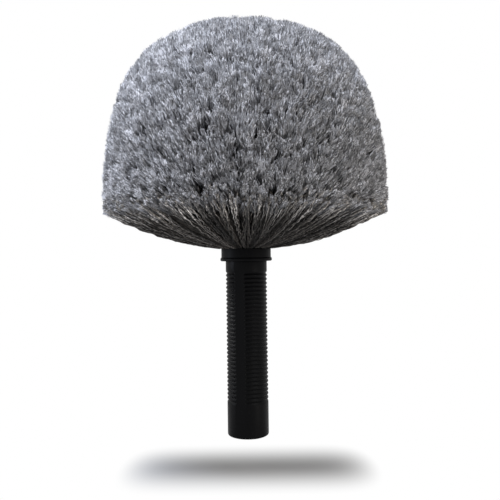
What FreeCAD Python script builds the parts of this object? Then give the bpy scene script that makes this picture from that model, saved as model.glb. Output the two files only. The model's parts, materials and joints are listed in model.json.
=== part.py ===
"""Cobweb brush: a round block full of bristle tufts, on a ribbed handle that screws onto a pole.

Millimetres. The origin is the centre of the pole socket's mouth and +Z runs up the handle to the crown.
"""

import FreeCAD
import Part
import math
import os

from FreeCAD import Vector

# Handle: as wide as the bush in it needs
HANDLE_LENGTH = 130.8
HANDLE_WALL = 3.45
END_EDGE = 1.2
TOP_WALL = 4.0

# Grooves round the grip, from the first one's middle up to a plain neck
GRIP_START = 26.5
PLAIN_NECK = 9.0
GROOVE_PITCH = 3.07
GROOVE_WIDTH = 2.0
GROOVE_DEPTH = 0.85

# Flat strips sunk in two opposite sides of the grip, where the grooves stop
FLAT_WIDTH = 7.4
FLAT_DEPTH = 0.6
FLAT_TURN = 69.0

# Stepped-in neck and spigot at the handle's top, hidden in the collar and the block
NECK_STEP = 2.0
SPIGOT_LENGTH = 7.5
SPIGOT_SIDE = 1.8
SPIGOT_END = 3.5

# Threaded bush for the pole, keyed into the handle's lower end
POLE_THREAD_D = 19.2
BUSH_WALL = 2.4
BUSH_LENGTH = 40.0
BUSH_LEDGE = 0.6
KEY_COUNT = 4
KEY_WIDTH = 3.0
KEY_HEIGHT = 1.2
KEY_LENGTH = 12.0

# Collar
COLLAR_STEP = 3.2
COLLAR_HEIGHT = 9.7
COLLAR_EDGE = 0.8
BEAD_PROUD = 0.8
BEAD_HEIGHT = 2.7

# Fixing screw and washer
SCREW_D = 4.2
SCREW_POINT = 2.5
SCREW_TIP_WALL = 1.0
SCREW_HEAD_D = 8.6
SCREW_HEAD_HEIGHT = 3.2
SCREW_HEAD_EDGE = 1.4
WASHER_D = 11.0
WASHER_THICKNESS = 1.0

# Rings of six-sided pockets, measured over corners: the block is as large as these need
ROW_COUNT = 6
LOWEST_TILT = 8.0
POCKET_D = 3.2
POCKET_DEPTH = 5.0
POCKET_WALL = 0.4
BASE_WALL = 2.0

# Flat wire anchor in the fold of each tuft
ANCHOR_HEIGHT = 1.4
ANCHOR_THICKNESS = 0.5
FOLD_DEPTH = 0.9

# Outline of the trimmed head, and the tufts that fill it
HEAD_D = 210.0
WIDEST_RISE = 34.2
DOME_HEIGHT = 127.0
RIM_DROP = 8.7
SIDE_POWER = 2.2
CROWN_POWER = 3.45
TIP_SPACING = 36.0
TIP_GAP = 1.6
END_FULLNESS = 0.75
MIDDLE_FLARE = 0.42

# Clearances
SLIDE_FIT = 0.1
PRESS_FIT = 0.05
SCREW_PLAY = 0.3
WASHER_PLAY = 0.7
CLAMP_GAP = 0.2

OUTLINE_STEPS = 16
SIDES = 6
CENTRE = Vector(0, 0, 0)
UP = Vector(0, 0, 1)
ACROSS = Vector(0, 1, 0)
FULL_TURN = 360.0

# Round pieces, from the pole thread outwards
bush_d = POLE_THREAD_D + 2 * BUSH_WALL
handle_d = bush_d + 2 * (PRESS_FIT + HANDLE_WALL)
neck_d = handle_d - 2 * NECK_STEP
collar_d = handle_d + 2 * COLLAR_STEP
screw_hole_d = SCREW_D + 2 * SCREW_PLAY
spigot_bore_d = WASHER_D + 2 * WASHER_PLAY
spigot_d = spigot_bore_d + 2 * SPIGOT_SIDE

groove_count = int((HANDLE_LENGTH - PLAIN_NECK - GRIP_START) / GROOVE_PITCH) + 1

# Block, from its pockets outwards
lowest = math.radians(LOWEST_TILT)
row_step = (math.pi / 2 - lowest) / ROW_COUNT
pocket_pitch = POCKET_D + POCKET_WALL
pocket_floor_r = pocket_pitch / row_step
block_r = pocket_floor_r + POCKET_DEPTH
shank_r = POCKET_D / 2 - PRESS_FIT
corner_angle = 2 * math.pi / SIDES

# Heights up the axis
collar_top = HANDLE_LENGTH + COLLAR_HEIGHT
neck_top = collar_top - CLAMP_GAP
spigot_top = neck_top + SPIGOT_LENGTH
washer_seat = spigot_top - SPIGOT_END
socket_top = spigot_top + CLAMP_GAP
block_centre = collar_top + BASE_WALL + POCKET_D / 2 * math.cos(lowest) - pocket_floor_r * math.sin(lowest)
screw_tip = block_centre + pocket_floor_r - SCREW_TIP_WALL
widest_z = collar_top + WIDEST_RISE


def point(radius, height):
    """A point of an outline that is turned about the brush's axis."""
    return Vector(radius, 0, height)


def turned(outline):
    """A solid of revolution from a closed outline of edges in the XZ plane."""
    face = Part.Face(Part.Wire(outline))
    return face.revolve(CENTRE, UP, FULL_TURN)


def lines(corners):
    """Straight edges through the corners."""
    return [Part.makeLine(a, b) for a, b in zip(corners, corners[1:])]


def arc(start, middle, end):
    return Part.Arc(start, middle, end).toShape()


def ring(outer_d, inner_d, bottom, top):
    """A plain tube on the brush's axis."""
    height = top - bottom
    base = point(0, bottom)
    return Part.makeCylinder(outer_d / 2, height, base).cut(Part.makeCylinder(inner_d / 2, height, base))


def spread(shape, count, first_angle=0.0):
    """Copies of a shape, evenly spaced about the brush's axis."""
    turns = [first_angle + FULL_TURN * i / count for i in range(count)]
    return [shape.rotated(CENTRE, UP, turn) for turn in turns]


def grip_corners():
    """The V-shaped grooves of the grip, as corners from the lowest groove to the highest."""
    crest = handle_d / 2
    corners = []
    for i in range(groove_count):
        middle = GRIP_START + i * GROOVE_PITCH
        corners.append(point(crest, middle - GROOVE_WIDTH / 2))
        corners.append(point(crest - GROOVE_DEPTH, middle))
        corners.append(point(crest, middle + GROOVE_WIDTH / 2))
    return corners


def grip_slabs(inner_r, outer_r):
    """Slabs as wide as the flat strips, between two distances from the axis."""
    bottom = GRIP_START - GROOVE_WIDTH / 2
    length = (groove_count - 1) * GROOVE_PITCH + GROOVE_WIDTH
    corner = Vector(inner_r, -FLAT_WIDTH / 2, bottom)
    slab = Part.makeBox(outer_r - inner_r, FLAT_WIDTH, length, corner)
    return spread(slab, 2, FLAT_TURN)


def bush_keys(clearance):
    """Keys that stop the bush turning in the handle when a pole is screwed in."""
    reach = bush_d / 2 + KEY_HEIGHT + clearance
    width = KEY_WIDTH + 2 * clearance
    key = Part.makeBox(reach, width, KEY_LENGTH + clearance, Vector(0, -width / 2, 0))
    core = Part.makeCylinder(POLE_THREAD_D / 2, KEY_LENGTH + clearance)
    return [piece.cut(core) for piece in spread(key, KEY_COUNT)]


def make_handle():
    outer_r = handle_d / 2
    seat_r = bush_d / 2 + PRESS_FIT
    bore_r = bush_d / 2 - BUSH_LEDGE
    outside = [
        point(outer_r - END_EDGE, 0),
        point(outer_r, END_EDGE),
    ]
    outside += grip_corners()
    outside += [
        point(outer_r, HANDLE_LENGTH),
        point(neck_d / 2, HANDLE_LENGTH),
        point(neck_d / 2, neck_top),
        point(spigot_d / 2, neck_top),
        point(spigot_d / 2, spigot_top),
    ]
    inside = [
        point(screw_hole_d / 2, spigot_top),
        point(screw_hole_d / 2, washer_seat),
        point(spigot_bore_d / 2, washer_seat),
        point(spigot_bore_d / 2, neck_top - TOP_WALL),
        point(bore_r, neck_top - TOP_WALL),
        point(bore_r, BUSH_LENGTH),
        point(seat_r, BUSH_LENGTH),
        point(seat_r, 0),
        point(outer_r - END_EDGE, 0),
    ]
    flat_r = outer_r - FLAT_DEPTH
    filled = turned(lines(outside + inside)).fuse(grip_slabs(flat_r - GROOVE_DEPTH, flat_r))
    return filled.cut(grip_slabs(flat_r, outer_r) + bush_keys(PRESS_FIT)).removeSplitter()


def make_pole_bush():
    tube = ring(bush_d, POLE_THREAD_D, 0, BUSH_LENGTH)
    return tube.fuse(bush_keys(0)).removeSplitter()


def make_collar():
    outer_r = collar_d / 2
    bore_r = neck_d / 2 + SLIDE_FIT
    bead_top = HANDLE_LENGTH + BEAD_HEIGHT
    bead = arc(
        point(outer_r, HANDLE_LENGTH),
        point(outer_r + BEAD_PROUD, HANDLE_LENGTH + BEAD_HEIGHT / 2),
        point(outer_r, bead_top),
    )
    rest = [
        point(outer_r, bead_top),
        point(outer_r, collar_top - COLLAR_EDGE),
        point(outer_r - COLLAR_EDGE, collar_top),
        point(bore_r, collar_top),
        point(bore_r, HANDLE_LENGTH),
        point(outer_r, HANDLE_LENGTH),
    ]
    return turned([bead] + lines(rest))


def make_screw_washer():
    return ring(WASHER_D, screw_hole_d, washer_seat - WASHER_THICKNESS, washer_seat)


def make_head_screw():
    head_top = washer_seat - WASHER_THICKNESS
    head_bottom = head_top - SCREW_HEAD_HEIGHT
    head_r = SCREW_HEAD_D / 2
    corners = [
        point(0, head_bottom),
        point(head_r - SCREW_HEAD_EDGE, head_bottom),
        point(head_r, head_bottom + SCREW_HEAD_EDGE),
        point(head_r, head_top),
        point(SCREW_D / 2, head_top),
        point(SCREW_D / 2, screw_tip - SCREW_POINT),
        point(0, screw_tip),
        point(0, head_bottom),
    ]
    return turned(lines(corners))


def row_tilt(row):
    """Angle of a row's pockets above the horizontal: row 0 is the crown."""
    return math.pi / 2 - row * row_step


def pocket_axis(row):
    return point(math.cos(row_tilt(row)), math.sin(row_tilt(row)))


def along_pocket(row, radius):
    """A point on a row's pocket axis, at a distance from the middle of the block."""
    return point(0, block_centre) + pocket_axis(row) * radius


def head_outline():
    """Half of the trimmed head's outline, from the crown down to the rim."""
    rim = -math.asin((RIM_DROP / DOME_HEIGHT) ** (SIDE_POWER / 2))
    points = []
    for i in range(OUTLINE_STEPS + 1):
        angle = math.pi / 2 + (rim - math.pi / 2) * i / OUTLINE_STEPS
        sine = math.sin(angle)
        radius = HEAD_D / 2 * math.cos(angle) ** (2 / CROWN_POWER)
        height = DOME_HEIGHT * math.copysign(abs(sine) ** (2 / SIDE_POWER), sine)
        points.append(point(radius, widest_z + height))
    curve = Part.BSplineCurve()
    curve.interpolate(points)
    return curve.toShape()


def on_dome(outline, run, turn):
    """A point of the head's surface: a way down its outline from the crown, swung round the axis."""
    mark = outline.valueAt(outline.getParameterByLength(run))
    return Vector(mark.x * math.cos(turn), mark.x * math.sin(turn), mark.z)


def row_size(row, tip):
    """How many tufts a row has: what the head's surface needs and the block has room for."""
    if row == 0:
        return 1
    wanted = int(2 * math.pi * tip.x / TIP_SPACING)
    room = int(2 * math.pi * pocket_floor_r * math.cos(row_tilt(row)) / pocket_pitch)
    return min(wanted, room)


def six_sided(centre, facing, radius):
    """Corners of a six-sided section, square to the way it faces."""
    upward = facing.cross(ACROSS).normalize()
    corners = []
    for i in range(SIDES):
        turn = i * corner_angle
        corners.append(centre + (ACROSS * math.cos(turn) + upward * math.sin(turn)) * radius)
    return corners


def flat_face(corners):
    return Part.Face(Part.makePolygon(corners + corners[:1]))


def flat_sided(sections, peak):
    """A solid with flat faces through six-sided sections, from a flat base to a low peak on the last one."""
    faces = [flat_face(sections[0][::-1])]
    for low, high in zip(sections, sections[1:]):
        for i in range(SIDES):
            j = (i + 1) % SIDES
            faces.append(flat_face([low[i], low[j], high[j]]))
            faces.append(flat_face([low[i], high[j], high[i]]))
    last = sections[-1]
    faces += [flat_face([last[i - 1], last[i], peak]) for i in range(SIDES)]
    return Part.Solid(Part.Shell(faces)).removeSplitter()


def anchor_at(row, clearance):
    """The flat wire anchor in the fold of a row's first tuft."""
    seat = along_pocket(row, pocket_floor_r + FOLD_DEPTH)
    corner_loss = ANCHOR_THICKNESS / math.tan(corner_angle)
    length = POCKET_D - corner_loss - 2 * PRESS_FIT + 2 * clearance
    thickness = ANCHOR_THICKNESS + 2 * clearance
    height = ANCHOR_HEIGHT + 2 * clearance
    box = Part.makeBox(thickness, length, height, Vector(-thickness / 2, -length / 2, -clearance))
    box.Placement = FreeCAD.Placement(seat, FreeCAD.Rotation(UP, pocket_axis(row)))
    return box


def trimmed_end(outline, row, count, spacing):
    """Corners of a tuft's trimmed end on the dome, in the order of a six-sided section."""
    half_height = (spacing - TIP_GAP) / 2
    if row == 0:
        return [on_dome(outline, half_height, math.pi / 2 + i * corner_angle) for i in range(SIDES)]
    run = row * spacing
    half_turn = math.pi / count - TIP_GAP / 2 / on_dome(outline, run, 0).x
    end_turn = half_turn * END_FULLNESS
    return [
        on_dome(outline, run, half_turn),
        on_dome(outline, run - half_height, end_turn),
        on_dome(outline, run - half_height, -end_turn),
        on_dome(outline, run, -half_turn),
        on_dome(outline, run + half_height, -end_turn),
        on_dome(outline, run + half_height, end_turn),
    ]


def tuft_at(row, tip, end):
    """One tuft: folded into its pocket, then flaring along a bend to its trimmed end."""
    axis = pocket_axis(row)
    mouth = along_pocket(row, block_r)
    # The bend leaves the pocket straight: its middle is pulled halfway towards the elbow
    elbow = mouth + axis * ((tip - mouth).Length / 2)
    middle = (mouth + elbow * 2 + tip) / 4
    folded = six_sided(along_pocket(row, pocket_floor_r), axis, shank_r)
    gripped = six_sided(mouth, axis, shank_r)
    flared = [
        middle + (inner - mouth) * (1 - MIDDLE_FLARE) + (outer - tip) * MIDDLE_FLARE
        for inner, outer in zip(gripped, end)
    ]
    return flat_sided([folded, gripped, flared, end], tip).cut(anchor_at(row, PRESS_FIT))


def pocket_at(row):
    """The space that a row's first pocket takes out of the block, run out past its mouth."""
    floor, top = along_pocket(row, pocket_floor_r), along_pocket(row, block_r + POCKET_DEPTH)
    return flat_sided([six_sided(end, pocket_axis(row), POCKET_D / 2) for end in (floor, top)], top)


def make_rows():
    """Tufts, anchors and pockets of every row, from the crown down to half a row above the rim."""
    outline = head_outline()
    spacing = outline.Length / (ROW_COUNT + 1 / 2)
    rows = []
    for row in range(ROW_COUNT + 1):
        tip = on_dome(outline, row * spacing, 0)
        count = row_size(row, tip)
        stagger = FULL_TURN / count / 2 if row % 2 else 0.0
        tuft = tuft_at(row, tip, trimmed_end(outline, row, count, spacing))
        rows.append(
            {
                "tufts": spread(tuft, count, stagger),
                "anchors": spread(anchor_at(row, 0), count, stagger),
                "pockets": spread(pocket_at(row), count, stagger),
            }
        )
    return rows


def make_bristle_block(pockets):
    base_r = math.sqrt(block_r ** 2 - (block_centre - collar_top) ** 2)
    halfway = math.pi / 4
    top = point(0, block_centre + block_r)
    dome = arc(
        point(base_r, collar_top),
        point(block_r * math.cos(halfway), block_centre + block_r * math.sin(halfway)),
        top,
    )
    rest = [
        top,
        point(0, screw_tip),
        point(SCREW_D / 2, screw_tip - SCREW_POINT),
        point(SCREW_D / 2, socket_top),
        point(spigot_d / 2 + SLIDE_FIT, socket_top),
        point(spigot_d / 2 + SLIDE_FIT, collar_top),
        point(base_r, collar_top),
    ]
    return turned([dome] + lines(rest)).cut(pockets)


def save(name, shape):
    shape.exportStep("parts/" + name + ".step")


def main():
    os.makedirs("parts", exist_ok=True)
    rows = make_rows()
    save("handle", make_handle())
    save("pole_bush", make_pole_bush())
    save("collar", make_collar())
    save("screw_washer", make_screw_washer())
    save("head_screw", make_head_screw())
    save("bristle_block", make_bristle_block([pocket for row in rows for pocket in row["pockets"]]))
    for number, row in enumerate(rows):
        save("tuft_row_%d" % number if number else "crown_tuft", Part.makeCompound(row["tufts"]))
        save("anchor_row_%d" % number if number else "crown_anchor", Part.makeCompound(row["anchors"]))


main()
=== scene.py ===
"""Cobweb brush: bristles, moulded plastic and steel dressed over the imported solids."""

import json
import math
from copy import copy

import bmesh
import bpy
import numpy as np
from bpy.props import FloatProperty, FloatVectorProperty, IntProperty, PointerProperty
from mathutils import Matrix, Vector
from mathutils.kdtree import KDTree


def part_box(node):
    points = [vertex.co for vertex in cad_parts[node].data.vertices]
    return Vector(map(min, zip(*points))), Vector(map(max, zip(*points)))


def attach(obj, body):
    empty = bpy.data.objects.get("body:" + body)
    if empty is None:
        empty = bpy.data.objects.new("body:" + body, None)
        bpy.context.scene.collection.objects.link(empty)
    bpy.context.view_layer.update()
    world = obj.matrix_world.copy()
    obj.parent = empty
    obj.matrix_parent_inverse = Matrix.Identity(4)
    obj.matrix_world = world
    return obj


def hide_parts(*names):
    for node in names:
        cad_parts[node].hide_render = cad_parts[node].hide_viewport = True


bl_info = {
    "name": "Cobweb brush",
    "version": (1, 0, 0),
    "blender": (4, 5, 0),
    "location": "3D View > Sidebar > Brush",
    "description": "Dresses the cobweb brush with bristles, moulded plastic and steel",
    "category": "Object",
}

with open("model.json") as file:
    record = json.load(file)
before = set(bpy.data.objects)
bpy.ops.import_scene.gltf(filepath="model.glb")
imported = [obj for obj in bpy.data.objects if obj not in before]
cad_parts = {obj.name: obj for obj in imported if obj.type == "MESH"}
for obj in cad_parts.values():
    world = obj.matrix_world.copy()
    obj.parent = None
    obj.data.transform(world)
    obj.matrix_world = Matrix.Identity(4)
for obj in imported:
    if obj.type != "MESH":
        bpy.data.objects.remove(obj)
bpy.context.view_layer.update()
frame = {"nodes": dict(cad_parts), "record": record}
MM = 0.001
TURN = 2 * math.pi

handle_low, handle_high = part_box("handle")
collar_low, collar_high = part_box("collar")
block_low, block_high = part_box("bristle_block")
bush_low, bush_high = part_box("pole_bush")
screw_low, screw_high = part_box("head_screw")
crown_low, crown_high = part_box("crown_tuft")

# Tufts in each row from the crown down, as the block's pockets have them
ROW_TUFTS = (1, 5, 10, 14, 16, 17, 18)
LAST_ROW = len(ROW_TUFTS) - 1
RIM_ROW = LAST_ROW + 0.5


def amount(name, description, default, **kind):
    return FloatProperty(name=name, description=description, default=default, **kind)


def length(name, description, default):
    return amount(name, description, default, min=0.0, unit="LENGTH", precision=5)


def share(name, description, default):
    return amount(name, description, default, min=0.0, max=1.0, subtype="FACTOR")


def colour(name, description, default):
    return FloatVectorProperty(
        name=name, description=description, default=default, size=3, min=0.0, max=1.0, subtype="COLOR"
    )


class BristleSettings(bpy.types.PropertyGroup):
    radius: length("Head radius", "Radius of the trimmed head where it is widest", 105.0 * MM)
    widest: length("Widest height", "Height of the widest ring above the handle's end", collar_high.z + 34.2 * MM)
    crown: length("Crown height", "Height of the crown above the handle's end", crown_high.z)
    rim_drop: length("Rim drop", "How far the rim lies below the widest ring", 8.7 * MM)
    side_power: amount("Side power", "Fullness of the dome up its side", 2.2)
    crown_power: amount("Crown power", "Fullness of the dome across its crown", 3.45)
    lowest_tilt: amount("Lowest tilt", "Tilt of the lowest pockets", math.radians(8.0), subtype="ANGLE")
    pocket_radius: length("Pocket radius", "Radius that the roots of a tuft fill", 1.35 * MM)
    cover: amount("Cover", "Strands for each square centimetre of the head", 110.0)
    lock_strands: amount("Lock", "Strands that make up a lock", 80.0)
    wisp_strands: amount("Wisp", "Strands that cling together at their tips", 16.0)
    gather: share("Gather", "How far a lock is drawn together at its neck", 0.55)
    tip_gather: share("Tip gather", "How far a lock is drawn together at its tips", 0.17)
    pinch: share("Pinch", "How far a wisp is drawn together at its tips", 0.78)
    neck: length("Neck", "From the tips of a lock down to its neck", 13.0 * MM)
    ruffle: share("Ruffle", "How far the tips are bent aside", 0.17)
    mingle: share("Mingle", "How far the strands of neighbouring tufts mingle", 0.22)
    wave: length("Wave", "Sideways reach of the crimp in a strand", 0.55 * MM)
    wave_length: length("Wave length", "Length of one wave of the crimp", 11.0 * MM)
    uneven: length("Uneven tips", "How unevenly the tips are trimmed", 1.1 * MM)
    under_strands: IntProperty(name="Underside", description="Long strands in each layer below the rim", default=600)
    sag: length("Sag", "How far the lowest strands sag", 4.5 * MM)
    rim_hang: length("Rim hang", "How much lower the rim hangs at the right", 3.0 * MM)
    rim_lift: length("Rim lift", "How much higher the rim lies at the front", 2.0 * MM)
    # Painted shade: the dark root colour stands for the shade inside the head
    root_shade_colour: colour("Root colour", "Colour of the strands inside the head", (0.042, 0.038, 0.034))
    # Painted shade: the near-black deep colour stands for the shade between the tufts deep in the head
    deep_shade_colour: colour("Deep colour", "Colour of the packed middles of the tufts", (0.014, 0.012, 0.01))
    body_colour: colour("Body colour", "Colour along the strands", (0.27, 0.27, 0.275))
    tip_colour: colour("Tip colour", "Colour of the split ends", (0.56, 0.56, 0.575))
    # Painted shade and painted warm bounce light: the strands below the rim are coloured darker and browner than the
    # same filament above it
    under_root_shade: colour("Under root", "Colour of the strands below the rim at the collar", (0.06, 0.055, 0.05))
    under_shade_colour: colour("Under colour", "Colour of the strands inside the rim", (0.1, 0.093, 0.084))
    under_tip: colour("Under tip", "Colour of the tips below the rim", (0.38, 0.36, 0.335))


class HandleSettings(bpy.types.PropertyGroup):
    rib_pitch: length("Rib pitch", "Distance from one groove to the next", 3.07 * MM)
    first_groove: length("First groove", "Height of the lowest groove", 26.5 * MM)
    grooves: IntProperty(name="Grooves", description="Number of grooves round the grip", default=32)
    groove_depth: length("Groove depth", "Depth of a groove", 0.85 * MM)
    flat_width: length("Flat width", "Width of the flat strips where the grooves stop", 7.4 * MM)
    flat_depth: length("Flat depth", "How far the flat strips are sunk", 0.6 * MM)
    flat_turn: amount(
        "Flat turn", "Where the flat strips lie round the grip", math.radians(69.0), subtype="ANGLE"
    )
    thread_pitch: length("Thread pitch", "Pitch of the pole thread", 5.08 * MM)
    thread_depth: length("Thread depth", "Depth of the pole thread", 1.5 * MM)
    plastic: colour("Plastic", "Colour of the handle and the collar", (0.0035, 0.0035, 0.0038))


class StageSettings(bpy.types.PropertyGroup):
    floor_drop: length("Floor drop", "How far the floor lies below the handle's end", 25.0 * MM)
    distance: length("Camera distance", "From the camera to the brush's axis", 469.0 * MM)
    height: length("Camera height", "Height of the camera above the handle's end", 139.0 * MM)
    key_power: amount("Key power", "Power of the lamp above", 5.8, unit="POWER")
    side_power: amount("Side power", "Power of the lamps at the sides", 2.0, unit="POWER")
    surround: share("Surround", "Level of the light from all round", 0.33)


class BrushSettings(bpy.types.PropertyGroup):
    bristle: PointerProperty(type=BristleSettings)
    handle: PointerProperty(type=HandleSettings)
    stage: PointerProperty(type=StageSettings)


# Materials


class Value:
    """A node's output. Arithmetic on it adds Math nodes."""

    def __init__(self, finish, socket):
        self.finish = finish
        self.socket = socket

    def math(self, operation, *operands, clamp=False):
        settings = {"operation": operation, "use_clamp": clamp}
        return self.finish.node("ShaderNodeMath", settings, dict(enumerate(operands)))

    def __add__(self, other):
        return self.math("ADD", self, other)

    def __radd__(self, other):
        return self.math("ADD", other, self)

    def __sub__(self, other):
        return self.math("SUBTRACT", self, other)

    def __rsub__(self, other):
        return self.math("SUBTRACT", other, self)

    def __mul__(self, other):
        return self.math("MULTIPLY", self, other)

    def __rmul__(self, other):
        return self.math("MULTIPLY", other, self)

    def __truediv__(self, other):
        return self.math("DIVIDE", self, other)

    def __rtruediv__(self, other):
        return self.math("DIVIDE", other, self)

    def __pow__(self, other):
        return self.math("POWER", self, other)

    def floor(self):
        return self.math("FLOOR", self)

    def between(self, low, high):
        """0 below low, 1 above high and even in between."""
        return self.math("MULTIPLY", (self - low), 1.0 / (high - low), clamp=True)

    def smooth(self, low, high):
        """0 below low, 1 above high and eased in between."""
        inputs = {"Value": self, "From Min": low, "From Max": high}
        return self.finish.node("ShaderNodeMapRange", {"interpolation_type": "SMOOTHSTEP"}, inputs)


class Finish:
    """A node material that is being put together."""

    def __init__(self, name, tree=None):
        if tree is None:
            self.material = bpy.data.materials.new(name)
            self.material.use_nodes = True
            tree = self.material.node_tree
        self.tree = tree
        self.tree.nodes.clear()

    def node(self, kind, settings=None, inputs=None, output=0):
        """A node with its settings, then its sockets' values or links. Gives one of its outputs."""
        made = self.tree.nodes.new(kind)
        for name, value in (settings or {}).items():
            if name == "stops":
                self.set_stops(made.color_ramp, value)
            else:
                setattr(made, name, value)
        for name, value in (inputs or {}).items():
            if isinstance(value, Value):
                self.tree.links.new(value.socket, made.inputs[name])
            else:
                made.inputs[name].default_value = value
        return Value(self, made.outputs[output]) if made.outputs else made

    @staticmethod
    def set_stops(ramp, stops):
        while len(ramp.elements) < len(stops):
            ramp.elements.new(1.0)
        for element, (position, tint) in zip(ramp.elements, stops):
            element.position = position
            element.color = (*tint, 1.0)

    def place(self):
        """The point of the surface, in the brush's own frame."""
        return self.node("ShaderNodeTexCoord", output="Object")

    def parts(self, vector):
        return [self.node("ShaderNodeSeparateXYZ", inputs={0: vector}, output=i) for i in range(3)]

    def noise(self, vector, scale, detail=2.0, rough=0.5):
        inputs = {"Vector": vector, "Scale": scale, "Detail": detail, "Roughness": rough}
        return self.node("ShaderNodeTexNoise", inputs=inputs)

    def chance(self, number):
        """A value from 0 to 1 that belongs to a number."""
        return self.node("ShaderNodeTexWhiteNoise", {"noise_dimensions": "1D"}, {"W": number})

    def mix(self, factor, first, second, blend="MIX"):
        settings = {"data_type": "RGBA", "blend_type": blend}
        return self.node("ShaderNodeMix", settings, {0: factor, 6: first, 7: second}, output=2)

    def bump(self, height, distance, strength=1.0):
        inputs = {"Height": height, "Distance": distance, "Strength": strength}
        return self.node("ShaderNodeBump", inputs=inputs)

    def surface(self, **inputs):
        """The Principled shader and the output. Underscores in a socket's name stand for spaces."""
        named = {name.replace("_", " "): value for name, value in inputs.items()}
        shader = self.node("ShaderNodeBsdfPrincipled", inputs=named)
        self.node("ShaderNodeOutputMaterial", inputs={"Surface": shader})
        return self.material


def solid(tint):
    return (*tint, 1.0)


# The strands' map: columns of tones across it, each with a lane for the trunk and one for each split end
TONE_COLUMNS = 24
SPLIT_ENDS = 3
LANES = SPLIT_ENDS + 1
LANE_SEED, WARMTH_SEED = 300.5, 71.3
# How often the painted highlights of the crimp change along a strand, and how they shift from lane to lane
CRIMP_BENDS, BENDS_BY_LANE = 38.0, 13.7

WARM = (1.0, 0.93, 0.84)
BUSH_TINT = (0.03, 0.03, 0.032)
STEEL_TINT = (0.55, 0.55, 0.56)
WIRE_TINT = (0.5, 0.5, 0.5)


def bristle_finish(name, stops, dark, pale, power, warmest, gloss):
    """Crimped polyester in strands of many tones, with painted shade that darkens it towards the roots, painted
    highlights at the bends, and pale split ends.
    """
    f = Finish(name)
    uv = f.node("ShaderNodeUVMap", {"uv_map": "strand"})
    across, run, _ = f.parts(uv)
    column = (across * TONE_COLUMNS).floor()
    lane = (across * TONE_COLUMNS * LANES).floor()
    tone = (f.chance(column) * 0.75 + f.chance(lane + LANE_SEED) * 0.25).between(0.12, 0.88)
    warmth = f.chance(column + WARMTH_SEED)
    # Painted highlights: the colour turns lighter and darker along each strand, where a crimped filament would catch
    # the light at its bends
    inputs = {"W": lane * BENDS_BY_LANE + run * CRIMP_BENDS, "Scale": 1.0, "Detail": 1.0}
    bend_highlights = f.node("ShaderNodeTexNoise", {"noise_dimensions": "1D"}, inputs)
    painted_glint = 0.35 + bend_highlights.between(0.3, 0.7) * 1.3
    shade = f.node("ShaderNodeValToRGB", {"stops": stops}, {"Fac": run})
    toned = f.mix(1.0, shade, (dark + tone ** power * (pale - dark)) * painted_glint, blend="MULTIPLY")
    warmed = f.mix(1.0, toned, solid(WARM), blend="MULTIPLY")
    return f.surface(
        Base_Color=f.mix(warmth * warmest, toned, warmed),
        Roughness=0.42 + tone * 0.16,
        Specular_IOR_Level=gloss,
        Sheen_Weight=gloss * 0.5,
        Sheen_Roughness=0.5,
    )


def plastic_finish(name, tint, roughness, crest=None):
    """Black moulded plastic: fine grain, uneven gloss, and a little wear on the crests of ribs."""
    f = Finish(name)
    place = f.place()
    grain = f.noise(place, 2600.0, 3.0, 0.6)
    cloud = f.noise(place, 95.0, 4.0, 0.55)
    scuff = f.noise(place, 520.0, 5.0, 0.7).between(0.56, 0.72)
    worn = scuff * cloud.between(0.42, 0.62)
    if crest:
        x, y, _ = f.parts(place)
        worn = worn * ((x * x + y * y) ** 0.5).between(crest - 0.25 * MM, crest)
    paler = solid(tuple(channel * 3.2 + 0.004 for channel in tint))
    return f.surface(
        Base_Color=f.mix(worn * 0.6, solid(tint), paler),
        Roughness=roughness + cloud * 0.16 - worn * 0.08,
        Specular_IOR_Level=0.055,
        Normal=f.bump(grain + scuff * 0.3, 0.03 * MM, 0.35),
    )


def steel_finish(name, tint, roughness):
    """Plated steel with fine drawn lines and a few dull patches."""
    f = Finish(name)
    place = f.place()
    stretched = f.node("ShaderNodeMapping", inputs={"Vector": place, "Scale": (1.0, 1.0, 9.0)})
    lines = f.noise(stretched, 1500.0, 3.0, 0.6)
    dull = f.noise(place, 260.0, 3.0, 0.5).between(0.4, 0.7)
    darker = solid(tuple(channel * 0.72 for channel in tint))
    return f.surface(
        Base_Color=f.mix(dull * 0.5, solid(tint), darker),
        Metallic=1.0,
        Roughness=roughness + lines * 0.12 + dull * 0.1,
        Normal=f.bump(lines, 0.02 * MM, 0.4),
    )


# Meshes


def new_piece(name, mesh, finish, slot, *nodes):
    """A finished piece of the brush, which stands for the named nodes of the frame."""
    piece = bpy.data.objects.new(name, mesh)
    bpy.context.scene.collection.objects.link(piece)
    mesh.materials.clear()
    mesh.materials.append(finish)
    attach(piece, "root")
    if nodes:
        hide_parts(*nodes)
    return piece


def to_mesh(name, bm, sharp=math.radians(35.0)):
    """Ends a bmesh: normals outwards, smooth faces and sharp edges past an angle."""
    bmesh.ops.recalc_face_normals(bm, faces=bm.faces[:])
    mesh = bpy.data.meshes.new(name)
    bm.to_mesh(mesh)
    bm.free()
    mesh.shade_smooth()
    mesh.set_sharp_from_angle(angle=sharp)
    return mesh


def placed(name, bm):
    """A new object in the scene with the shape of a bmesh, which is freed."""
    mesh = bpy.data.meshes.new(name)
    bm.to_mesh(mesh)
    bm.free()
    made = bpy.data.objects.new(name, mesh)
    bpy.context.scene.collection.objects.link(made)
    return made


def evaluated(bm, modify):
    """The mesh that a bmesh becomes under modifiers, which are applied."""
    worker = placed("work", bm)
    modify(worker)
    graph = bpy.context.evaluated_depsgraph_get()
    made = bpy.data.meshes.new_from_object(worker.evaluated_get(graph))
    bpy.data.meshes.remove(worker.data)
    return made


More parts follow.
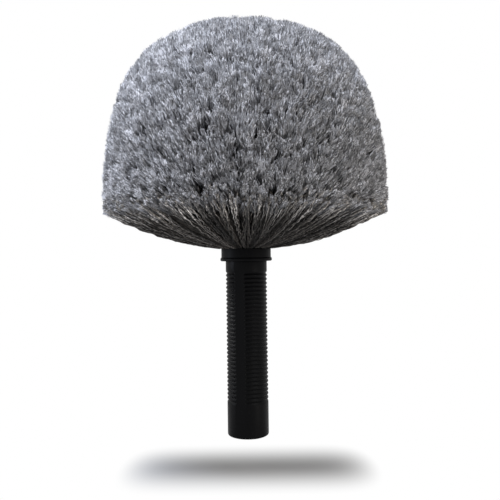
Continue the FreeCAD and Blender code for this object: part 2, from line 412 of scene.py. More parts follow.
def spun(profile, steps, closed=True):
    """The profile's (radius, height) points, closed or from axis to axis, turned about the brush's axis."""
    bm = bmesh.new()
    verts = [bm.verts.new((radius, 0.0, height)) for radius, height in profile]
    followers = verts[1:] + verts[:1] if closed else verts[1:]
    edges = [bm.edges.new(pair) for pair in zip(verts, followers)]
    bmesh.ops.spin(
        bm, geom=verts + edges, cent=(0, 0, 0), axis=(0, 0, 1), angle=TURN, steps=steps, use_merge=True
    )
    bmesh.ops.remove_doubles(bm, verts=bm.verts[:], dist=1e-7)
    bmesh.ops.recalc_face_normals(bm, faces=bm.faces[:])
    return bm


def rounded(corner_a, corner, corner_b, reach, steps=4):
    """Points of a rounded corner of a profile, reach away from it along both of its sides."""
    here = Vector(corner)
    start = here + (Vector(corner_a) - here).normalized() * reach
    end = here + (Vector(corner_b) - here).normalized() * reach
    shares = [i / steps for i in range(steps + 1)]
    return [tuple((1 - s) ** 2 * start + 2 * s * (1 - s) * here + s * s * end) for s in shares]


def cut_away(bm, cutter):
    """The mesh of bm less the cutter's shape."""
    knife = placed("cutter", cutter)

    def modify(worker):
        boolean = worker.modifiers.new("cut", "BOOLEAN")
        boolean.operation = "DIFFERENCE"
        boolean.solver = "EXACT"
        boolean.object = knife

    made = evaluated(bm, modify)
    bpy.data.meshes.remove(knife.data)
    return made


# Bristles


def unit(vectors):
    return vectors / np.linalg.norm(vectors, axis=-1, keepdims=True)


def along(vectors, ways):
    """How far each vector goes along a unit vector, as a column."""
    return (vectors * ways).sum(-1, keepdims=True)


def bent_line(root, elbow, tip, part):
    """Points of a bent line, part of the way from root to tip, and the way that it runs there."""
    line = (1 - part) ** 2 * root + 2 * part * (1 - part) * elbow + part ** 2 * tip
    return line, unit(2 * (1 - part) * (elbow - root) + 2 * part * (tip - elbow))


class Head:
    """Where the strands of the trimmed head start and end. Rows are counted down the outline from the crown."""

    def __init__(self, settings):
        self.settings = settings
        rise = settings.crown - settings.widest
        rim = -math.asin((settings.rim_drop / rise) ** (settings.side_power / 2))
        angle = np.linspace(math.pi / 2, rim, 1500)
        sine = np.sin(angle)
        self.r = settings.radius * np.cos(angle).clip(0) ** (2 / settings.crown_power)
        self.z = settings.widest + rise * np.sign(sine) * np.abs(sine) ** (2 / settings.side_power)
        run = np.concatenate([[0.0], np.cumsum(np.hypot(np.diff(self.r), np.diff(self.z)))])
        self.row_height = run[-1] / RIM_ROW
        self.row = run / self.row_height
        self.area = np.concatenate([[0.0], np.cumsum((self.r[1:] + self.r[:-1]) / 2 * np.diff(run))]) * TURN
        tilt_step = (math.pi / 2 - settings.lowest_tilt) / LAST_ROW
        self.tilt = math.pi / 2 - tilt_step * np.arange(LAST_ROW + 1)
        self.block_radius = (block_high.x - block_low.x) / 2
        self.block_centre = block_high.z - self.block_radius

    def ring(self, row):
        """Radius and height of the outline at places counted in rows."""
        return np.interp(row, self.row, self.r), np.interp(row, self.row, self.z)

    def at(self, row, turn):
        r, z = self.ring(row)
        return np.stack([r * np.cos(turn), r * np.sin(turn), z], -1)

    def facing(self, row, turn):
        """The way that the trimmed surface faces."""
        out = np.interp(row, self.row, -np.gradient(self.z))
        rise = np.interp(row, self.row, np.gradient(self.r))
        return unit(np.stack([out * np.cos(turn), out * np.sin(turn), rise], -1))

    def spread_row(self, low, high, amount):
        """Places between two rows, for shares of the ring's area from 0 to 1."""
        areas = np.interp([low, high], self.row, self.area)
        return np.interp(areas[0] + (areas[1] - areas[0]) * amount, self.area, self.row)

    def ring_area(self, low, high):
        areas = np.interp([low, high], self.row, self.area)
        return areas[1] - areas[0]

    def tuft_turns(self, row):
        step = TURN / ROW_TUFTS[row]
        return (np.arange(ROW_TUFTS[row]) + (0.5 if row % 2 else 0.0)) * step

    def pocket(self, row, turn):
        """The mouth of a pocket and the way it points."""
        flat, rise = np.cos(self.tilt[row]), np.sin(self.tilt[row])
        way = np.stack([flat * np.cos(turn), flat * np.sin(turn), rise + np.zeros_like(turn)], -1)
        return way * self.block_radius + np.array([0.0, 0.0, self.block_centre]), way


def even_points(count, rng):
    """Points spread evenly over a unit square, without rows or clumps."""
    golden = 1.32471795724
    steps = np.arange(count)[:, None] * np.array([1 / golden, 1 / golden ** 2]) + rng.random(2)
    return (steps + rng.normal(0.0, 0.2 / math.sqrt(count), (count, 2))) % 1.0


def nearest(points, marks):
    """For each point, the number of the mark that is nearest to it."""
    tree = KDTree(len(marks))
    for number, mark in enumerate(marks):
        tree.insert(mark, number)
    tree.balance()
    return np.array([tree.find(place)[1] for place in points])


# How much locks, wisps and single strands differ in bend and in trim, and how often each gives the tone
LOCK_BEND, WISP_BEND, STRAND_BEND = 0.8, 0.8, 0.7
LONGEST, LOCK_TRIM, WISP_TRIM, STRAND_TRIM = 1.1, 1.0, 1.4, 0.3
TONE_SHARES = (0.12, 0.43, 0.45)
FAN_LENGTH = 5.0 * MM


class Strands:
    """Curves from the pockets to the head's surface between two rows, and the tone of each."""

    BY_STRAND = (
        "row", "tip", "root", "length", "elbow", "tone", "spin", "fan", "draw", "pinch", "bend", "around"
    )
    BY_WAVE = ("wave", "wave_length", "wave_start")

    def __init__(self, head, low, high, count, rng, lock_strands, wisp_strands, sag=0.0, splay=0.0):
        s = head.settings
        self.settings = s
        place = even_points(count, rng)
        row_at, turn_at = head.spread_row(low, high, place[:, 1]), place[:, 0] * TURN
        ends = head.at(row_at, turn_at)
        # The bristles have taken a set: the rim isn't quite level
        at_front = np.clip(-np.sin(turn_at), 0.0, 1.0) ** 2
        at_right = np.clip(np.cos(turn_at), 0.0, 1.0) ** 2
        at_rim = np.clip(row_at - (RIM_ROW - 1.0), 0.0, 1.0)
        lift = (s.rim_lift * at_front - s.rim_hang * at_right) * at_rim
        ends[:, 2] += lift
        # Strands cling together in wisps, and wisps in locks
        clumps = []
        for size in (lock_strands, wisp_strands):
            spot = even_points(round(count / size), rng)
            middles = head.at(head.spread_row(low, high, spot[:, 1]), spot[:, 0] * TURN)
            mine = nearest(ends, middles)
            clumps.append((mine, len(middles), (middles[mine] - ends) * rng.uniform(0.6, 1.3, (count, 1))))
        lock, locks, self.draw = clumps[0]
        wisp, wisps, self.pinch = clumps[1]
        # The trimmed rim is neater than the rest
        loose = np.clip((RIM_ROW - row_at) / 0.5, 0.1, 1.0)[:, None]
        bend = rng.normal(0.0, LOCK_BEND, (locks, 2))[lock] + rng.normal(0.0, WISP_BEND, (wisps, 2))[wisp]
        self.bend = (bend + rng.normal(0.0, STRAND_BEND, (count, 2))) * s.ruffle * loose

        self.row = np.clip(np.rint(row_at + rng.normal(0.0, s.mingle, count)), 0, LAST_ROW).astype(int)
        step = TURN / np.array(ROW_TUFTS)[self.row]
        offset = np.where(self.row % 2, 0.5, 0.0)
        turn = (np.rint(turn_at / step - offset + rng.normal(0.0, s.mingle, count)) + offset) * step
        turn += (turn_at - turn) * splay
        mouth, axis = head.pocket(self.row, turn)
        trim = LONGEST - np.abs(rng.normal(0.0, LOCK_TRIM, (locks, 1)))[lock]
        trim -= np.abs(rng.normal(0.0, WISP_TRIM, (wisps, 1)))[wisp]
        trim -= np.abs(rng.normal(0.0, STRAND_TRIM, (count, 1)))
        self.tip = ends + unit(ends - mouth) * trim * s.uneven
        side = np.stack([-np.sin(turn), np.cos(turn), np.zeros(count)], -1)
        spot = rng.uniform(-1.0, 1.0, (count, 2)) * s.pocket_radius * 0.75
        self.root = mouth + spot[:, :1] * side + spot[:, 1:] * np.cross(axis, side)
        self.root[:, 2] -= sag * 0.8
        self.length = np.linalg.norm(self.tip - self.root, axis=-1)
        self.elbow = self.root + axis * self.length[:, None] * 0.5
        self.elbow[:, 2] += lift * 0.5 - sag * rng.uniform(-0.1, 0.3, count)
        self.around = unit(np.stack([-self.tip[:, 1], self.tip[:, 0] + 1e-6, np.zeros(count)], -1))
        across, upward = self.sides(unit(self.tip - self.elbow))
        aside = (self.bend[:, :1] * across + self.bend[:, 1:] * upward) * s.neck
        aside += self.draw * s.tip_gather + self.pinch * s.pinch
        outward = head.facing(row_at, turn_at)
        self.tip -= outward * along(aside, outward)
        tones = [rng.integers(0, TONE_COLUMNS, number) for number in (locks, wisps, count)]
        choice = rng.choice(3, count, p=TONE_SHARES)
        self.tone = np.choose(choice, [tones[0][lock], tones[1][wisp], tones[2]])
        self.spin = rng.uniform(0.0, TURN, count)
        self.wave = s.wave * rng.uniform(0.5, 1.4, (2, count))
        self.wave_length = s.wave_length * rng.uniform(0.75, 1.35, (2, count))
        self.wave_start = rng.uniform(0.0, TURN, (2, count))
        self.fan = rng.uniform(0.5, 1.5, count)

    def sides(self, ahead):
        """Two ways across the strands, where they run ahead."""
        around = self.around.reshape(len(self.tip), *[1] * (ahead.ndim - 2), 3)
        across = unit(around - along(around, ahead) * ahead)
        return across, np.cross(ahead, across)

    def only(self, chosen):
        """Some of the strands, by their numbers."""
        some = copy(self)
        for name in self.BY_STRAND:
            setattr(some, name, getattr(self, name)[chosen])
        for name in self.BY_WAVE:
            setattr(some, name, getattr(self, name)[:, chosen])
        return some

    def comb(self, shape):
        """The shape's points laid along every curve: its Z runs back from the tip, and X and Y lie across."""
        s = self.settings
        x, y, z = shape.T[:, None]
        run = 1.0 + z / self.length[:, None]
        part = np.clip(run, 0.0, 1.2)[..., None]
        line, ahead = bent_line(self.root[:, None], self.elbow[:, None], self.tip[:, None], part)
        # A lock is drawn together at its neck, below the tips, and its tips are bent one way
        down = -shape[:, 2] / s.neck
        above_neck = s.tip_gather + (s.gather - s.tip_gather) * down
        below_neck = s.gather * (1.3 - 0.3 * down)
        drawn = np.where(down < 1.0, above_neck, below_neck).clip(0.0)
        pinched = s.pinch * (1.0 - 0.25 * down).clip(0.0)
        line = line + self.draw[:, None] * drawn[:, None] + self.pinch[:, None] * pinched[:, None]
        curl = (1.0 - down).clip(0.0) ** 2 * s.neck
        across, upward = self.sides(ahead)
        cos, sin = np.cos(self.spin)[:, None], np.sin(self.spin)[:, None]
        fan = np.where(z > -FAN_LENGTH, self.fan[:, None], 1.0)
        aside = (x * cos - y * sin) * fan + self.bend[:, :1] * curl
        up = (x * sin + y * cos) * fan + self.bend[:, 1:] * curl
        loose = np.clip(run * 2.5, 0.0, 1.0)
        from_root = run * self.length[:, None]
        swing = np.sin(TURN * from_root / self.wave_length[..., None] + self.wave_start[..., None])
        sway = self.wave[..., None] * loose * swing
        return line + (aside + sway[0])[..., None] * across + (up + sway[1])[..., None] * upward, run


TRUNK_END = -5.5 * MM
SHORT_FOOT = -15.0 * MM
FOOT_OUT = 0.1 * MM
POINTED_END = 0.18 * MM
BLUNT_END = 0.17 * MM


def cut_rings(bm, start, rise, rings):
    """Cuts a shape into rings of even height along Z."""
    for i in range(1, rings):
        geometry = bm.verts[:] + bm.edges[:] + bm.faces[:]
        place = (0.0, 0.0, start + rise * i / rings)
        bmesh.ops.bisect_plane(bm, geom=geometry, plane_co=place, plane_no=(0.0, 0.0, 1.0))


def split_ends(bm, foot_z, rng):
    """Adds a strand's split ends, from feet near its axis to tips about Z = 0, each in its own lane."""
    lane = bm.verts.layers.float["lane"]
    for i in range(SPLIT_ENDS):
        blunt = i % 2 == 0
        end = rng.uniform(-0.9, 0.0) * MM
        start = foot_z * rng.uniform(0.9, 1.2)
        out = rng.uniform(0.1, 0.6) * MM
        turn = TURN * (i + rng.uniform(-0.3, 0.3)) / SPLIT_ENDS
        foot = Vector((FOOT_OUT * math.cos(turn), FOOT_OUT * math.sin(turn), start))
        top = Vector((out * math.cos(turn), out * math.sin(turn), end))
        aim = (top - foot).to_track_quat("Z", "Y").to_matrix().to_4x4()
        made = bmesh.ops.create_cone(
            bm,
            cap_ends=True,
            segments=3,
            radius1=0.0 if blunt else POINTED_END,
            radius2=BLUNT_END if blunt else 0.0,
            depth=(top - foot).length,
            matrix=Matrix.Translation((foot + top) / 2) @ aim,
        )
        for number, vert in enumerate(made["verts"]):
            vert[lane] = i + 1 + (number % 4 + 1) / 5
    bmesh.ops.remove_doubles(bm, verts=bm.verts[:], dist=1e-7)
    bmesh.ops.recalc_face_normals(bm, faces=bm.faces[:])


def short_strand(rng):
    """The outer end of one strand."""
    bm = bmesh.new()
    bm.verts.layers.float.new("lane")
    split_ends(bm, SHORT_FOOT, rng)
    return bm


def long_strand(reach, rings, thick, rng):
    """One whole strand: a three-sided filament with split ends on it."""
    bm = bmesh.new()
    lane = bm.verts.layers.float.new("lane")
    depth = reach + TRUNK_END
    middle = Matrix.Translation((0.0, 0.0, TRUNK_END - depth / 2))
    bmesh.ops.create_cone(
        bm, cap_ends=True, segments=3, radius1=thick * 0.85, radius2=thick, depth=depth, matrix=middle
    )
    cut_rings(bm, TRUNK_END, -depth, rings)
    for number, vert in enumerate(bm.verts):
        vert[lane] = (number % 3 + 1) / 4
    split_ends(bm, TRUNK_END, rng)
    return bm


def repeated(bm, count):
    """A mesh of many copies of a small shape, all in one place, and the shape's own points."""
    shape = np.array([vert.co for vert in bm.verts])

    def modify(worker):
        array = worker.modifiers.new("copies", "ARRAY")
        array.use_relative_offset = False
        array.count = count

    return evaluated(bm, modify), shape


def lay_out(mesh, points, across, run):
    """Sets the mesh's points, and the map that its colours and its bake are read through."""
    mesh.vertices.foreach_set("co", points.astype(np.float32).ravel())
    loops = np.empty(len(mesh.loops), np.int32)
    mesh.loops.foreach_get("vertex_index", loops)
    uv = np.stack([across.ravel()[loops], run.ravel()[loops]], -1).astype(np.float32)
    for name in ("strand", "OFBake"):
        mesh.uv_layers.new(name=name).uv.foreach_set("vector", uv.ravel())
    mesh.shade_smooth()
    mesh.update()


def strand_mesh(name, bm, strands):
    """A copy of one strand's shape combed along every curve."""
    lane = bm.verts.layers.float["lane"]
    inside = np.array([vert[lane] for vert in bm.verts]) / LANES
    mesh, shape = repeated(bm, len(strands.tip))
    mesh.name = name
    points, run = strands.comb(shape)
    across = (strands.tone[:, None] + inside[None]) / TONE_COLUMNS
    lay_out(mesh, points, across, np.clip(run, 0.0, 1.0))
    return mesh


BUNDLE_SEED, BRISTLE_SEED = 40, 100
BUNDLE_SIDES, BUNDLE_RINGS = 14, 9
BUNDLE_END = 0.74
BUNDLE_FOOT = 1.3 * MM
FLUTES, FLUTE_DEPTH = 5, 0.12


def bundle_mesh(head):
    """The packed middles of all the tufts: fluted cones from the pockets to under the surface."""
    rng = np.random.default_rng(BUNDLE_SEED)
    points, across, run = [], [], []
    bm = bmesh.new()
    bmesh.ops.create_cone(bm, cap_ends=True, segments=BUNDLE_SIDES, radius1=1.0, radius2=1.0, depth=1.0)
    bmesh.ops.translate(bm, verts=bm.verts[:], vec=(0.0, 0.0, 0.5))
    cut_rings(bm, 0.0, 1.0, BUNDLE_RINGS)
    mesh, shape = repeated(bm, sum(ROW_TUFTS))
    flute = np.arctan2(shape[:, 1], shape[:, 0])
    part = shape[:, 2:] * BUNDLE_END
    flare = part ** 1.25 * 0.62
    half = head.row_height / 2
    for row in range(LAST_ROW + 1):
        turns = head.tuft_turns(row)
        for turn in turns:
            mouth, axis = head.pocket(row, np.array([turn]))
            tip = head.at(np.array([float(row)]), np.array([turn]))
            wide = math.pi * head.ring(row)[0] / len(turns) if row else half
            elbow = mouth + axis * np.linalg.norm(tip - mouth) / 2
            line, ahead = bent_line(mouth, elbow, tip, part)
            side = np.array([-math.sin(turn), math.cos(turn), 0.0])
            rise = np.cross(ahead, side)
            folds = 1.0 + FLUTE_DEPTH * np.sin(flute * FLUTES + rng.uniform(0, TURN))[:, None]
            across_reach = (BUNDLE_FOOT + (wide - BUNDLE_FOOT) * flare) * folds
            up_reach = (BUNDLE_FOOT + (half - BUNDLE_FOOT) * flare) * folds
            points.append(line + shape[:, :1] * across_reach * side + shape[:, 1:2] * up_reach * rise)
            tone = rng.integers(0, TONE_COLUMNS)
            across.append((tone + 0.5 + 0.45 * shape[:, 0]) / TONE_COLUMNS)
            run.append(part[:, 0] * 0.4)
    mesh.name = "tuft_bundles"
    lay_out(mesh, np.concatenate(points), np.concatenate(across), np.concatenate(run))
    return mesh


STRANDS_IN_PIECE = 16000
SQUARE_CM = 1e4
UNDER_LAYERS = 3
UNDER_LOCK, UNDER_WISP, UNDER_SPLAY = 3.0, 1.0, 0.9
UNDER_LENGTH, UNDER_RINGS = 94.0 * MM, 32
OUTER_THICK, INNER_THICK = 0.3 * MM, 0.22 * MM


class BRUSH_OT_bristles(bpy.types.Operator):
    """Comb strands with split ends out of every row of tufts"""

    bl_idname = "brush.bristles"
    bl_label = "Bristles"

    def execute(self, context):
        settings = context.scene.cobweb_brush.bristle
        head = Head(settings)
        root, body, tip = settings.root_shade_colour, settings.body_colour, settings.tip_colour
        # Painted shade: each strand keeps the dark root colour for three quarters of its run, darkening the inside
        # of the head
        stops = [(0.76, root), (0.91, body), (0.975, tip)]
        finish = bristle_finish("bristle_filament", stops, 0.35, 1.75, 1.2, 0.3, 0.16)
        # Painted shade: the strands below the rim take darker, warmer colours, and the inner layers a still darker
        # shaded copy of them
        under_stops = [(0.2, settings.under_root_shade), (0.68, settings.under_shade_colour), (0.88, settings.under_tip)]
        under_finish = bristle_finish("under_filament", under_stops, 0.15, 3.0, 1.9, 0.6, 0.06)
        shaded_stops = [(0.3, settings.deep_shade_colour), (0.74, root), (0.9, settings.under_tip)]
        shaded_finish = bristle_finish("shaded_filament", shaded_stops, 0.2, 2.8, 1.8, 0.6, 0.06)
        # Painted shade: the packed middles of the tufts are coloured from the deep shade colour to the root shade
        # colour, a dark backing that stands for the shade between the locks
        bundle_stops = [(0.0, settings.deep_shade_colour), (1.0, root)]
        bundle_shade_finish = bristle_finish("bundle_filament", bundle_stops, 0.5, 1.5, 1.0, 0.9, 0.03)
        new_piece("tuft_bundles", bundle_mesh(head), bundle_shade_finish, "bristle")
        rng = np.random.default_rng(BRISTLE_SEED)
        count = int(head.ring_area(0.0, RIM_ROW) * SQUARE_CM * settings.cover)
        strands = Strands(head, 0.0, RIM_ROW, count, rng, settings.lock_strands, settings.wisp_strands)
        for row in range(LAST_ROW + 1):
            node = "tuft_row_%d" % row if row else "crown_tuft"
            numbers = np.flatnonzero(strands.row == row)
            layers = math.ceil(len(numbers) / STRANDS_IN_PIECE)
            for layer in range(layers):
                name = "bristle_row_%d_%d" % (row, layer + 1) if row else "crown_bristles"
                mesh = strand_mesh(name, short_strand(rng), strands.only(numbers[layer::layers]))
                new_piece(name, mesh, finish, "bristle", node)
        count = settings.under_strands
        for layer in range(UNDER_LAYERS):
            sag = settings.sag * (1.0 - 0.3 * layer)
            low = LAST_ROW + 0.35 - 0.1 * layer
            under = Strands(head, low, RIM_ROW, count, rng, UNDER_LOCK, UNDER_WISP, sag, UNDER_SPLAY)
            under.wave_length *= rng.uniform(0.8, 1.7, count)
            under.wave *= rng.uniform(0.4, 1.3, count)
            name = "under_bristles_%d" % (layer + 1)
            thick = INNER_THICK if layer else OUTER_THICK
            mesh = strand_mesh(name, long_strand(UNDER_LENGTH, UNDER_RINGS, thick, rng), under)
            new_piece(name, mesh, shaded_finish if layer else under_finish, "bristle", "tuft_row_%d" % LAST_ROW)
        return {"FINISHED"}


# Handle


# The handle's neck, its bore and the seat of the bush, as the solids have them
NECK_STEP = 6.0 * MM
NECK_LENGTH = 9.4 * MM
SEAT_RADIUS = 12.05 * MM
SEAT_LENGTH = 40 * MM
BUSH_LEDGE = 0.6 * MM
KEYS = 4
KEY_SLOT = (13.25 * MM, 3.1 * MM, 24.1 * MM)

END_ROUND = 1.4 * MM
SHOULDER_ROUND = 0.4 * MM
GRIP_LEAD = 0.6 * MM
RIB_SAMPLES = 6


def grip_profile(settings):
    """Outside of the handle from its lower end to the shoulder under the collar, then the neck and the bore."""
    radius = (handle_high.x - handle_low.x) / 2
    top = collar_low.z
    outside = rounded((SEAT_RADIUS, 0.0), (radius, 0.0), (radius, top), END_ROUND)
    first = settings.first_groove - settings.rib_pitch / 2
    outside.append((radius, first - GRIP_LEAD))
    for i in range(settings.grooves * RIB_SAMPLES + 1):
        dip = (0.5 - 0.5 * math.cos(TURN * i / RIB_SAMPLES)) ** 1.2
        outside.append((radius - settings.groove_depth * dip, first + settings.rib_pitch * i / RIB_SAMPLES))
    neck, neck_top = (collar_high.x - collar_low.x) / 2 - NECK_STEP, top + NECK_LENGTH
    outside += rounded((radius, 0.0), (radius, top), (neck, top), SHOULDER_ROUND)
    outside += [(neck, top), (neck, neck_top)]
    bore = SEAT_RADIUS - BUSH_LEDGE
    return outside + [(bore, neck_top), (bore, SEAT_LENGTH), (SEAT_RADIUS, SEAT_LENGTH), (SEAT_RADIUS, 0.0)]


class BRUSH_OT_handle(bpy.types.Operator):
    """Turn the handle with its rounded ribs, plain strips and key slots"""

    bl_idname = "brush.handle"
    bl_label = "Handle"

    def execute(self, context):
        settings = context.scene.cobweb_brush.handle
        radius = (handle_high.x - handle_low.x) / 2
        bm = spun(grip_profile(settings), 160)
        outward = Vector((math.cos(settings.flat_turn), math.sin(settings.flat_turn), 0.0))
        across = Vector((-outward.y, outward.x, 0.0))
        flat = radius - settings.flat_depth
        low = settings.first_groove - settings.rib_pitch
        high = settings.first_groove + settings.rib_pitch * settings.grooves
        for vert in bm.verts:
            out = vert.co.xy.length
            if low < vert.co.z < high and out > radius - 1.5 * settings.groove_depth:
                if abs(vert.co.dot(across)) < settings.flat_width / 2:
                    depth = vert.co.dot(outward)
                    vert.co += outward * (math.copysign(flat, depth) - depth)
        slots = bmesh.new()
        for i in range(KEYS):
            turned = Matrix.Rotation(TURN * i / KEYS, 4, "Z")
            outwards = Matrix.Translation((KEY_SLOT[0] / 2, 0.0, 0.0))
            bmesh.ops.create_cube(slots, size=1.0, matrix=turned @ outwards @ Matrix.Diagonal((*KEY_SLOT, 1.0)))
        mesh = cut_away(bm, slots)
        bm = bmesh.new()
        bm.from_mesh(mesh)
        bpy.data.meshes.remove(mesh)
        finish = plastic_finish("handle_plastic_finish", settings.plastic, 0.36, crest=radius)
        new_piece("ribbed_handle", to_mesh("ribbed_handle", bm), finish, "handle_plastic", "handle")
        return {"FINISHED"}


BEAD_PROUD = 0.8 * MM
BEAD_HEIGHT = 2.7 * MM
BEAD_STEPS = 8
COLLAR_WALL = 5.1 * MM
COLLAR_ROUND = 0.8 * MM


class BRUSH_OT_collar(bpy.types.Operator):
    """Turn the collar with its bead"""

    bl_idname = "brush.collar"
    bl_label = "Collar"

    def execute(self, context):
        settings = context.scene.cobweb_brush.handle
        low, high = collar_low.z, collar_high.z
        wall = (collar_high.x - collar_low.x) / 2 - BEAD_PROUD
        bore = wall - COLLAR_WALL
        half = BEAD_HEIGHT / 2
        profile = [(bore, low)]
        for i in range(BEAD_STEPS + 1):
            angle = math.pi * (i / BEAD_STEPS - 0.5)
            profile.append((wall + BEAD_PROUD * math.cos(angle), low + half + half * math.sin(angle)))
        profile += rounded((wall, low), (wall, high), (bore, high), COLLAR_ROUND)
        profile.append((bore, high))
        bm = spun(profile, 128)
        finish = plastic_finish("collar_plastic_finish", settings.plastic, 0.4)
        new_piece("beaded_collar", to_mesh("beaded_collar", bm), finish, "collar_plastic", "collar")
        return {"FINISHED"}


def helix(profile, pitch, turns, steps):
    """A closed ridge with the profile's (radius, height) section, wound up the brush's axis."""
    bm = bmesh.new()
    face = bm.faces.new([bm.verts.new((radius, 0.0, height)) for radius, height in profile])
    geometry = [face] + face.edges[:] + face.verts[:]
    count = int(turns * steps)
    bmesh.ops.spin(
        bm,
        geom=geometry,
        cent=(0, 0, 0),
        axis=(0, 0, 1),
        dvec=(0, 0, pitch / steps),
        angle=TURN * turns,
        steps=count,
    )
    return bm


# The ridge stands a little into the bush's wall, and its widths are shares of the pitch
THREAD_FOOT = 9.63 * MM
THREAD_LEAD = 1.5 * MM
HALF_FOOT, HALF_CREST = 0.32, 0.19


class BRUSH_OT_socket_thread(bpy.types.Operator):
    """Wind the thread ridge inside the pole socket"""

    bl_idname = "brush.socket_thread"
    bl_label = "Socket thread"

    def execute(self, context):
        settings = context.scene.cobweb_brush.handle
        pitch = settings.thread_pitch
        crest = THREAD_FOOT - settings.thread_depth
        start = bush_low.z + THREAD_LEAD
        half_foot, half_crest = pitch * HALF_FOOT, pitch * HALF_CREST
        section = [
            (THREAD_FOOT, start),
            (crest, start + half_foot - half_crest),
            (crest, start + half_foot + half_crest),
            (THREAD_FOOT, start + 2 * half_foot),
        ]
        turns = (bush_high.z - bush_low.z - 2 * THREAD_LEAD - 2 * half_foot) / pitch
        bm = helix(section, pitch, turns, 64)
        finish = plastic_finish("thread_plastic_finish", BUSH_TINT, 0.45)
        new_piece("socket_thread", to_mesh("socket_thread", bm), finish, "bush_plastic")
        return {"FINISHED"}


SCREW_HEAD = 3.2 * MM
SCREW_HEAD_ROUND = 1.6 * MM
SCREW_CORE = 1.55 * MM
SCREW_POINT = 2.5 * MM
SCREW_PITCH = 1.8 * MM
SCREW_ENDS = (1.4 * MM, 2.6 * MM)
CROSS_ARM = (4.4 * MM, 0.9 * MM, 3.2 * MM)
# The thread's ridge, as radius and rise above the head in millimetres
SCREW_RIDGE = ((1.5, 0.3), (2.08, 0.7), (1.5, 1.1))


class BRUSH_OT_screw(bpy.types.Operator):
    """Turn the fixing screw with its thread and cross recess"""

    bl_idname = "brush.screw"
    bl_label = "Screw"

    def execute(self, context):
        low, tip = screw_low.z, screw_high.z
        head_top = low + SCREW_HEAD
        radius = (screw_high.x - screw_low.x) / 2
        outline = [(0.0, low)]
        outline += rounded((0.0, low), (radius, low), (radius, head_top), SCREW_HEAD_ROUND, 5)
        outline += [(radius, head_top), (SCREW_CORE, head_top), (SCREW_CORE, tip - SCREW_POINT), (0.0, tip)]
        bm = spun(outline, 48, closed=False)
        cross = bmesh.new()
        for turn in (0.0, math.pi / 2):
            turned = Matrix.Translation((0.0, 0.0, low)) @ Matrix.Rotation(turn, 4, "Z")
            bmesh.ops.create_cube(cross, size=1.0, matrix=turned @ Matrix.Diagonal((*CROSS_ARM, 1.0)))
        mesh = cut_away(bm, cross)
        section = [(out * MM, head_top + rise * MM) for out, rise in SCREW_RIDGE]
        turns = (tip - SCREW_ENDS[1] - head_top - SCREW_ENDS[0]) / SCREW_PITCH
        bm = helix(section, SCREW_PITCH, turns, 32)
        bmesh.ops.recalc_face_normals(bm, faces=bm.faces[:])
        bm.from_mesh(mesh)
        bpy.data.meshes.remove(mesh)
        finish = steel_finish("screw_steel_finish", STEEL_TINT, 0.3)
        new_piece("cross_screw", to_mesh("cross_screw", bm), finish, "fixing_steel", "head_screw")
        return {"FINISHED"}


class BRUSH_OT_solids(bpy.types.Operator):
    """Finish the solids of the frame that show as they are"""

    bl_idname = "brush.solids"
    bl_label = "Solids"

    def execute(self, context):
        plastic = context.scene.cobweb_brush.handle.plastic
        finishes = {
            "block_plastic": plastic_finish("block_plastic_finish", plastic, 0.5),
            "bush_plastic": plastic_finish("bush_plastic_finish", BUSH_TINT, 0.45),
            "fixing_steel": steel_finish("washer_steel_finish", STEEL_TINT, 0.3),
            "anchor_wire": steel_finish("anchor_steel_finish", WIRE_TINT, 0.35),
        }
        for subpart in frame["record"]["subparts"]:
            node = frame["nodes"][subpart["node"]]
            if not node.hide_render:
                for place in node.material_slots:
                    place.material = finishes[subpart["material_slot"]]
        return {"FINISHED"}


# Stage


WHITE = (1.0, 1.0, 1.0)
PAPER = (0.86, 0.88, 0.91)
SURROUND_TINT = (1.0, 0.965, 0.925)
KEY_TINT = (0.775, 0.845, 1.0)
LEFT_TINT = (0.76, 0.83, 1.0)
RIGHT_TINT = (1.0, 0.93, 0.85)

FLOOR_HALF = 6.0
# Half the width and the depth of the painted elliptical patch on the floor, where the shaded paper and the brush's
# shadow show
SHADOW_ACROSS, SHADOW_DEEP = 0.1, 0.057
HEAD_ABOVE_CAMERA = 0.06
GRIP_MIDDLE = (0.0, 0.0, 0.03)
GRIP_LAMPS = (("grip_left", (-0.52, 0.2, 0.5), 2.2), ("grip_right", (0.42, -0.42, 0.46), 1.2))


def seen_directly(finish):
    """1 for what is seen, also in gloss or through glass, and 0 for light on its way to the brush."""
    rays = ("Is Camera Ray", "Is Glossy Ray", "Is Transmission Ray")
    camera, gloss, glass = [finish.node("ShaderNodeLightPath", output=name) for name in rays]
    return camera.math("MAXIMUM", camera, gloss.math("MAXIMUM", gloss, glass))


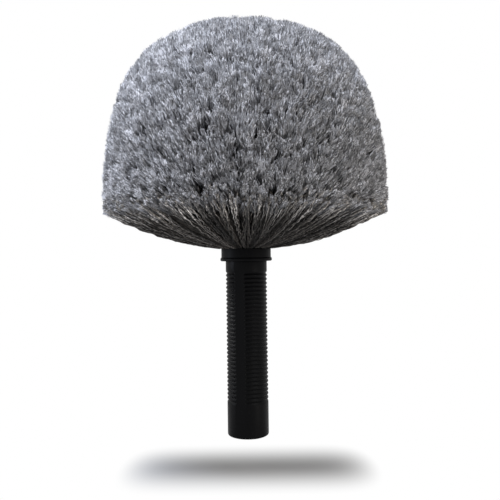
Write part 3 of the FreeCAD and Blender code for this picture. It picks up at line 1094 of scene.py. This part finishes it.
class BRUSH_OT_stage(bpy.types.Operator):
    """Set the floor, the lamps, the surround and the camera"""

    bl_idname = "brush.stage"
    bl_label = "Stage"

    def lay_floor(self, drop):
        """Pale paper that is seen as white, apart from a painted elliptical patch below the brush, where the paper's
        own shading and the brush's shadow show.
        """
        f = Finish("floor_paper")
        x, y, _ = f.parts(f.place())
        # Painted shadow: the mask sets the outline of the dark patch and mixes a little white into its middle; the
        # darkness within it is the paper's real shading and the key's shadow
        middle = ((x / SHADOW_ACROSS) ** 8.0 + (y / SHADOW_DEEP) ** 2.0) ** 0.5
        clear = 0.06 + 0.94 * middle.smooth(0.0, 1.0)
        paper = f.node("ShaderNodeBsdfDiffuse", inputs={"Color": solid(PAPER)})
        white = f.node("ShaderNodeEmission", inputs={"Color": solid(WHITE), "Strength": 1.0})
        mixed = f.node("ShaderNodeMixShader", inputs={0: seen_directly(f) * clear, 1: paper, 2: white})
        f.node("ShaderNodeOutputMaterial", inputs={"Surface": mixed})
        bm = bmesh.new()
        bmesh.ops.create_grid(bm, x_segments=1, y_segments=1, size=FLOOR_HALF)
        bmesh.ops.translate(bm, verts=bm.verts[:], vec=(0.0, 0.0, -drop))
        floor = placed("floor", bm)
        floor.data.materials.append(f.material)
        return floor

    def light_surround(self, scene, level):
        """Soft light from all round, with a white background."""
        world = bpy.data.worlds.new("surround")
        world.use_nodes = True
        scene.world = world
        w = Finish("surround", world.node_tree)
        light = w.node("ShaderNodeBackground", inputs={"Color": solid(SURROUND_TINT), "Strength": level})
        white = w.node("ShaderNodeBackground", inputs={"Color": solid(WHITE), "Strength": 1.0})
        mixed = w.node("ShaderNodeMixShader", inputs={0: seen_directly(w), 1: light, 2: white})
        w.node("ShaderNodeOutputWorld", inputs={"Surface": mixed})

    def lamp(self, name, place, target, size, power, tint):
        data = bpy.data.lights.new(name, "AREA")
        data.shape = "DISK"
        data.size = size
        data.energy = power
        data.color = tint
        lamp = bpy.data.objects.new(name, data)
        lamp.location = place
        lamp.rotation_euler = (Vector(target) - Vector(place)).to_track_quat("-Z", "Y").to_euler()
        bpy.context.scene.collection.objects.link(lamp)
        return lamp

    def light_brush(self, settings, floor):
        """A soft key above, a weak lamp at each side, and two that light the grip alone."""
        centre = (0.0, 0.0, settings.height + HEAD_ABOVE_CAMERA)
        side = settings.side_power
        self.lamp("key", (-0.19, -0.15, 1.04), centre, 0.5, settings.key_power, KEY_TINT)
        left = self.lamp("left", (-0.9, -0.1, 0.15), centre, 0.2, side * 1.05, LEFT_TINT)
        right = self.lamp("right", (0.5, -0.36, -0.06), centre, 0.1, side * 0.26, RIGHT_TINT)
        # The side lamps light the brush alone, so that its shadow on the floor is the key's
        unlit = bpy.data.collections.new("unlit_by_sides")
        unlit.objects.link(floor)
        for lamp in (left, right):
            lamp.light_linking.receiver_collection = unlit
            lamp.light_linking.blocker_collection = unlit
        # The ribs catch more light than the bristles above them, from over both shoulders of the grip
        grip = bpy.data.collections.new("lit_as_grip")
        grip.objects.link(bpy.data.objects["ribbed_handle"])
        for name, place, power in GRIP_LAMPS:
            lamp = self.lamp(name, place, GRIP_MIDDLE, 0.15, power, WHITE)
            lamp.light_linking.receiver_collection = grip
        unlit.collection_objects[0].light_linking.link_state = "EXCLUDE"

    def execute(self, context):
        scene = context.scene
        settings = scene.cobweb_brush.stage
        scene.view_settings.view_transform = "Standard"
        floor = self.lay_floor(settings.floor_drop)
        self.light_surround(scene, settings.surround)
        self.light_brush(settings, floor)

        data = bpy.data.cameras.new("camera")
        data.sensor_width = 36.0
        data.lens = 44.64
        data.clip_start = 0.01
        camera = bpy.data.objects.new("camera", data)
        camera.location = (0.003, -settings.distance, settings.height)
        camera.rotation_euler = (math.pi / 2, math.radians(0.75), 0.0)
        scene.collection.objects.link(camera)
        scene.camera = camera
        return {"FINISHED"}


OPERATORS = (
    BRUSH_OT_bristles,
    BRUSH_OT_handle,
    BRUSH_OT_collar,
    BRUSH_OT_socket_thread,
    BRUSH_OT_screw,
    BRUSH_OT_solids,
    BRUSH_OT_stage,
)


class BRUSH_PT_panel(bpy.types.Panel):
    bl_idname = "BRUSH_PT_panel"
    bl_label = "Cobweb brush"
    bl_space_type = "VIEW_3D"
    bl_region_type = "UI"
    bl_category = "Brush"

    def draw(self, context):
        for operator in OPERATORS:
            self.layout.operator(operator.bl_idname)
        brush = context.scene.cobweb_brush
        for group in (brush.bristle, brush.handle, brush.stage):
            box = self.layout.box()
            for name in group.__annotations__:
                box.prop(group, name)


CLASSES = (BristleSettings, HandleSettings, StageSettings, BrushSettings, *OPERATORS, BRUSH_PT_panel)


def register():
    for cls in CLASSES:
        bpy.utils.register_class(cls)
    bpy.types.Scene.cobweb_brush = PointerProperty(type=BrushSettings)


def unregister():
    del bpy.types.Scene.cobweb_brush
    for cls in reversed(CLASSES):
        bpy.utils.unregister_class(cls)


def main():
    register()
    bpy.ops.brush.bristles()
    bpy.ops.brush.handle()
    bpy.ops.brush.collar()
    bpy.ops.brush.socket_thread()
    bpy.ops.brush.screw()
    bpy.ops.brush.solids()
    bpy.ops.brush.stage()


if __name__ == "__main__":
    main()
